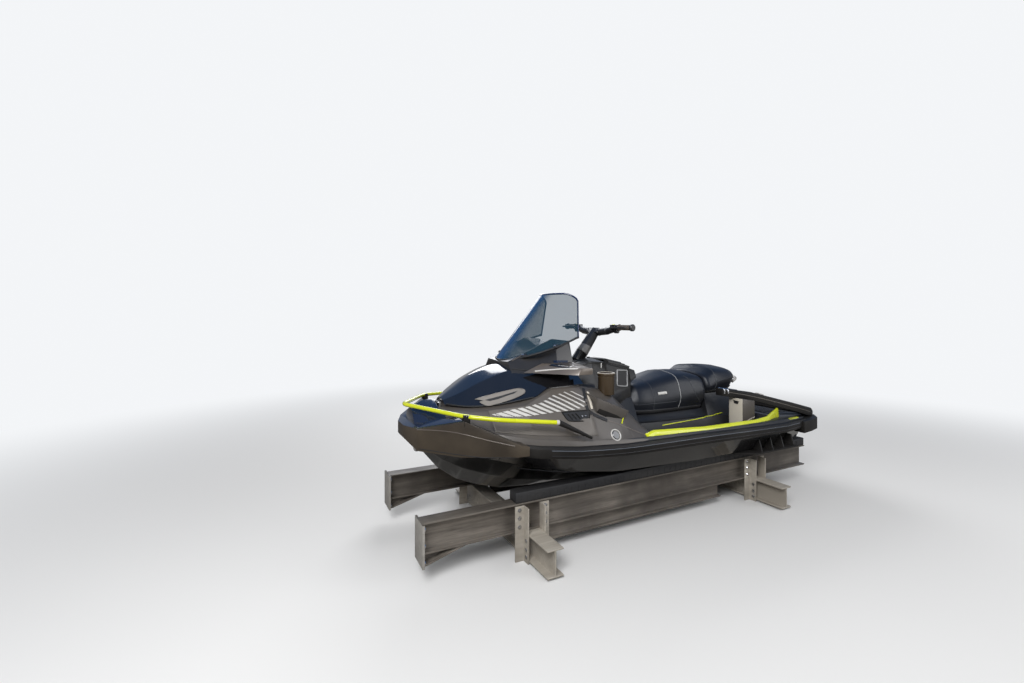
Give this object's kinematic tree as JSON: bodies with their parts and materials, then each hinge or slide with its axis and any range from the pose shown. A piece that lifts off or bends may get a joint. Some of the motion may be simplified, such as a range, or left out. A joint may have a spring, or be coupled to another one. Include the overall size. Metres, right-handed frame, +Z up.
{
  "type": "personal watercraft on a lift cradle",
  "caption": "Personal watercraft with windshield, stepped seats, rear rack, lime tube rails and jet pump, parked on an aluminium I-beam cradle.",
  "frame": {"origin": "on the floor under the middle of the craft's length, on its centre plane", "axes": "+X to the bow, +Y to port, +Z up"},
  "size_m": [3.45, 1.4, 1.537],
  "materials": {
    "hull_black": "gloss",
    "deck_black": "satin",
    "gloss_black": "gloss",
    "grey_panel": "metallic satin",
    "trim_black": "matte",
    "lime": "gloss",
    "seat_cover": "satin",
    "mat": "matte",
    "rubber_black": "matte",
    "tinted_screen": "gloss",
    "mirror": "polished",
    "black_steel": "satin",
    "stainless": "brushed",
    "cast_metal": "cast",
    "engine_grey": "matte",
    "beam_aluminium": "mill",
    "bunk_black": "matte",
    "light_grey": "satin"
  },
  "bodies": {
    "craft": {"hull": "hull_black", "engine_block": "engine_grey", "deck": "deck_black", "front_bumper": "trim_black", "rub_rails": "trim_black", "rear_bumper": "trim_black", "bow_tube": "lime", "bow_tube_brackets": "trim_black", "gunwale_rails": "lime", "side_panels": "grey_panel", "hood_hinge": "stainless", "console": "deck_black", "knee_pods": "gloss_black", "filler_caps": "trim_black", "seat_front": "seat_cover", "seat_rear": "seat_cover", "grab_handle": "rubber_black", "rear_rack": "trim_black", "stern_boxes": "light_grey", "deck_mats": "mat", "sponsons": "trim_black", "pump_housing": "cast_metal", "intake_grate": "stainless", "ride_plate": "cast_metal", "ladder_brackets": "stainless", "tow_eyes": "stainless", "cradle_arm_port": "beam_aluminium", "cradle_arm_starboard": "beam_aluminium", "bunk_covers": "bunk_black", "cross_beam_front": "beam_aluminium", "cross_beam_rear": "beam_aluminium", "beam_brackets": "beam_aluminium"},
    "hood": {"hood": "gloss_black", "cowl": "gloss_black", "windshield": "tinted_screen", "mirror_wings": "gloss_black", "mirror_glasses": "mirror"},
    "steering": {"handlebar": "black_steel", "steering_column": "deck_black", "grips": "rubber_black", "levers": "trim_black"},
    "glovebox": {"glovebox_lid": "deck_black"},
    "nozzle": {"steering_nozzle": "cast_metal"},
    "bucket": {"reverse_bucket": "cast_metal"},
    "impeller": {"impeller": "stainless", "drive_shaft": "stainless"},
    "ladder": {"ladder": "stainless"}
  },
  "joints": [
    {"name": "steering_turn", "type": "hinge", "parent": "craft", "child": "steering", "pos_m": [0.432, 0, 1.102], "axis": [-0.6157, 0, 0.788], "range_deg": [-27, 27]},
    {"name": "nozzle_turn", "type": "hinge", "parent": "craft", "child": "nozzle", "pos_m": [-1.562, 0, 0.372], "axis": [0, 0, 1], "range_deg": [-20, 20]},
    {"name": "bucket_lift", "type": "hinge", "parent": "craft", "child": "bucket", "pos_m": [-1.562, 0, 0.38], "axis": [0, -1, 0], "range_deg": [0, 60]},
    {"name": "impeller_spin", "type": "hinge", "parent": "craft", "child": "impeller", "pos_m": [-1.255, 0, 0.372], "axis": [1, 0, 0], "continuous": true},
    {"name": "hood_lift", "type": "hinge", "parent": "craft", "child": "hood", "pos_m": [1.502, 0, 0.85], "axis": [0, 1, 0], "range_deg": [0, 48]},
    {"name": "glovebox_lift", "type": "hinge", "parent": "craft", "child": "glovebox", "pos_m": [0.28423, 0, 1.0706], "axis": [0, 1, 0], "range_deg": [0, 55]},
    {"name": "ladder_fold", "type": "hinge", "parent": "craft", "child": "ladder", "pos_m": [-1.6, 0, 0.304], "axis": [0, -1, 0], "range_deg": [0, 150]}
  ],
  "couplings": [
    {"joint": "nozzle_turn", "follows": "steering_turn", "ratio": -0.74}
  ]
}
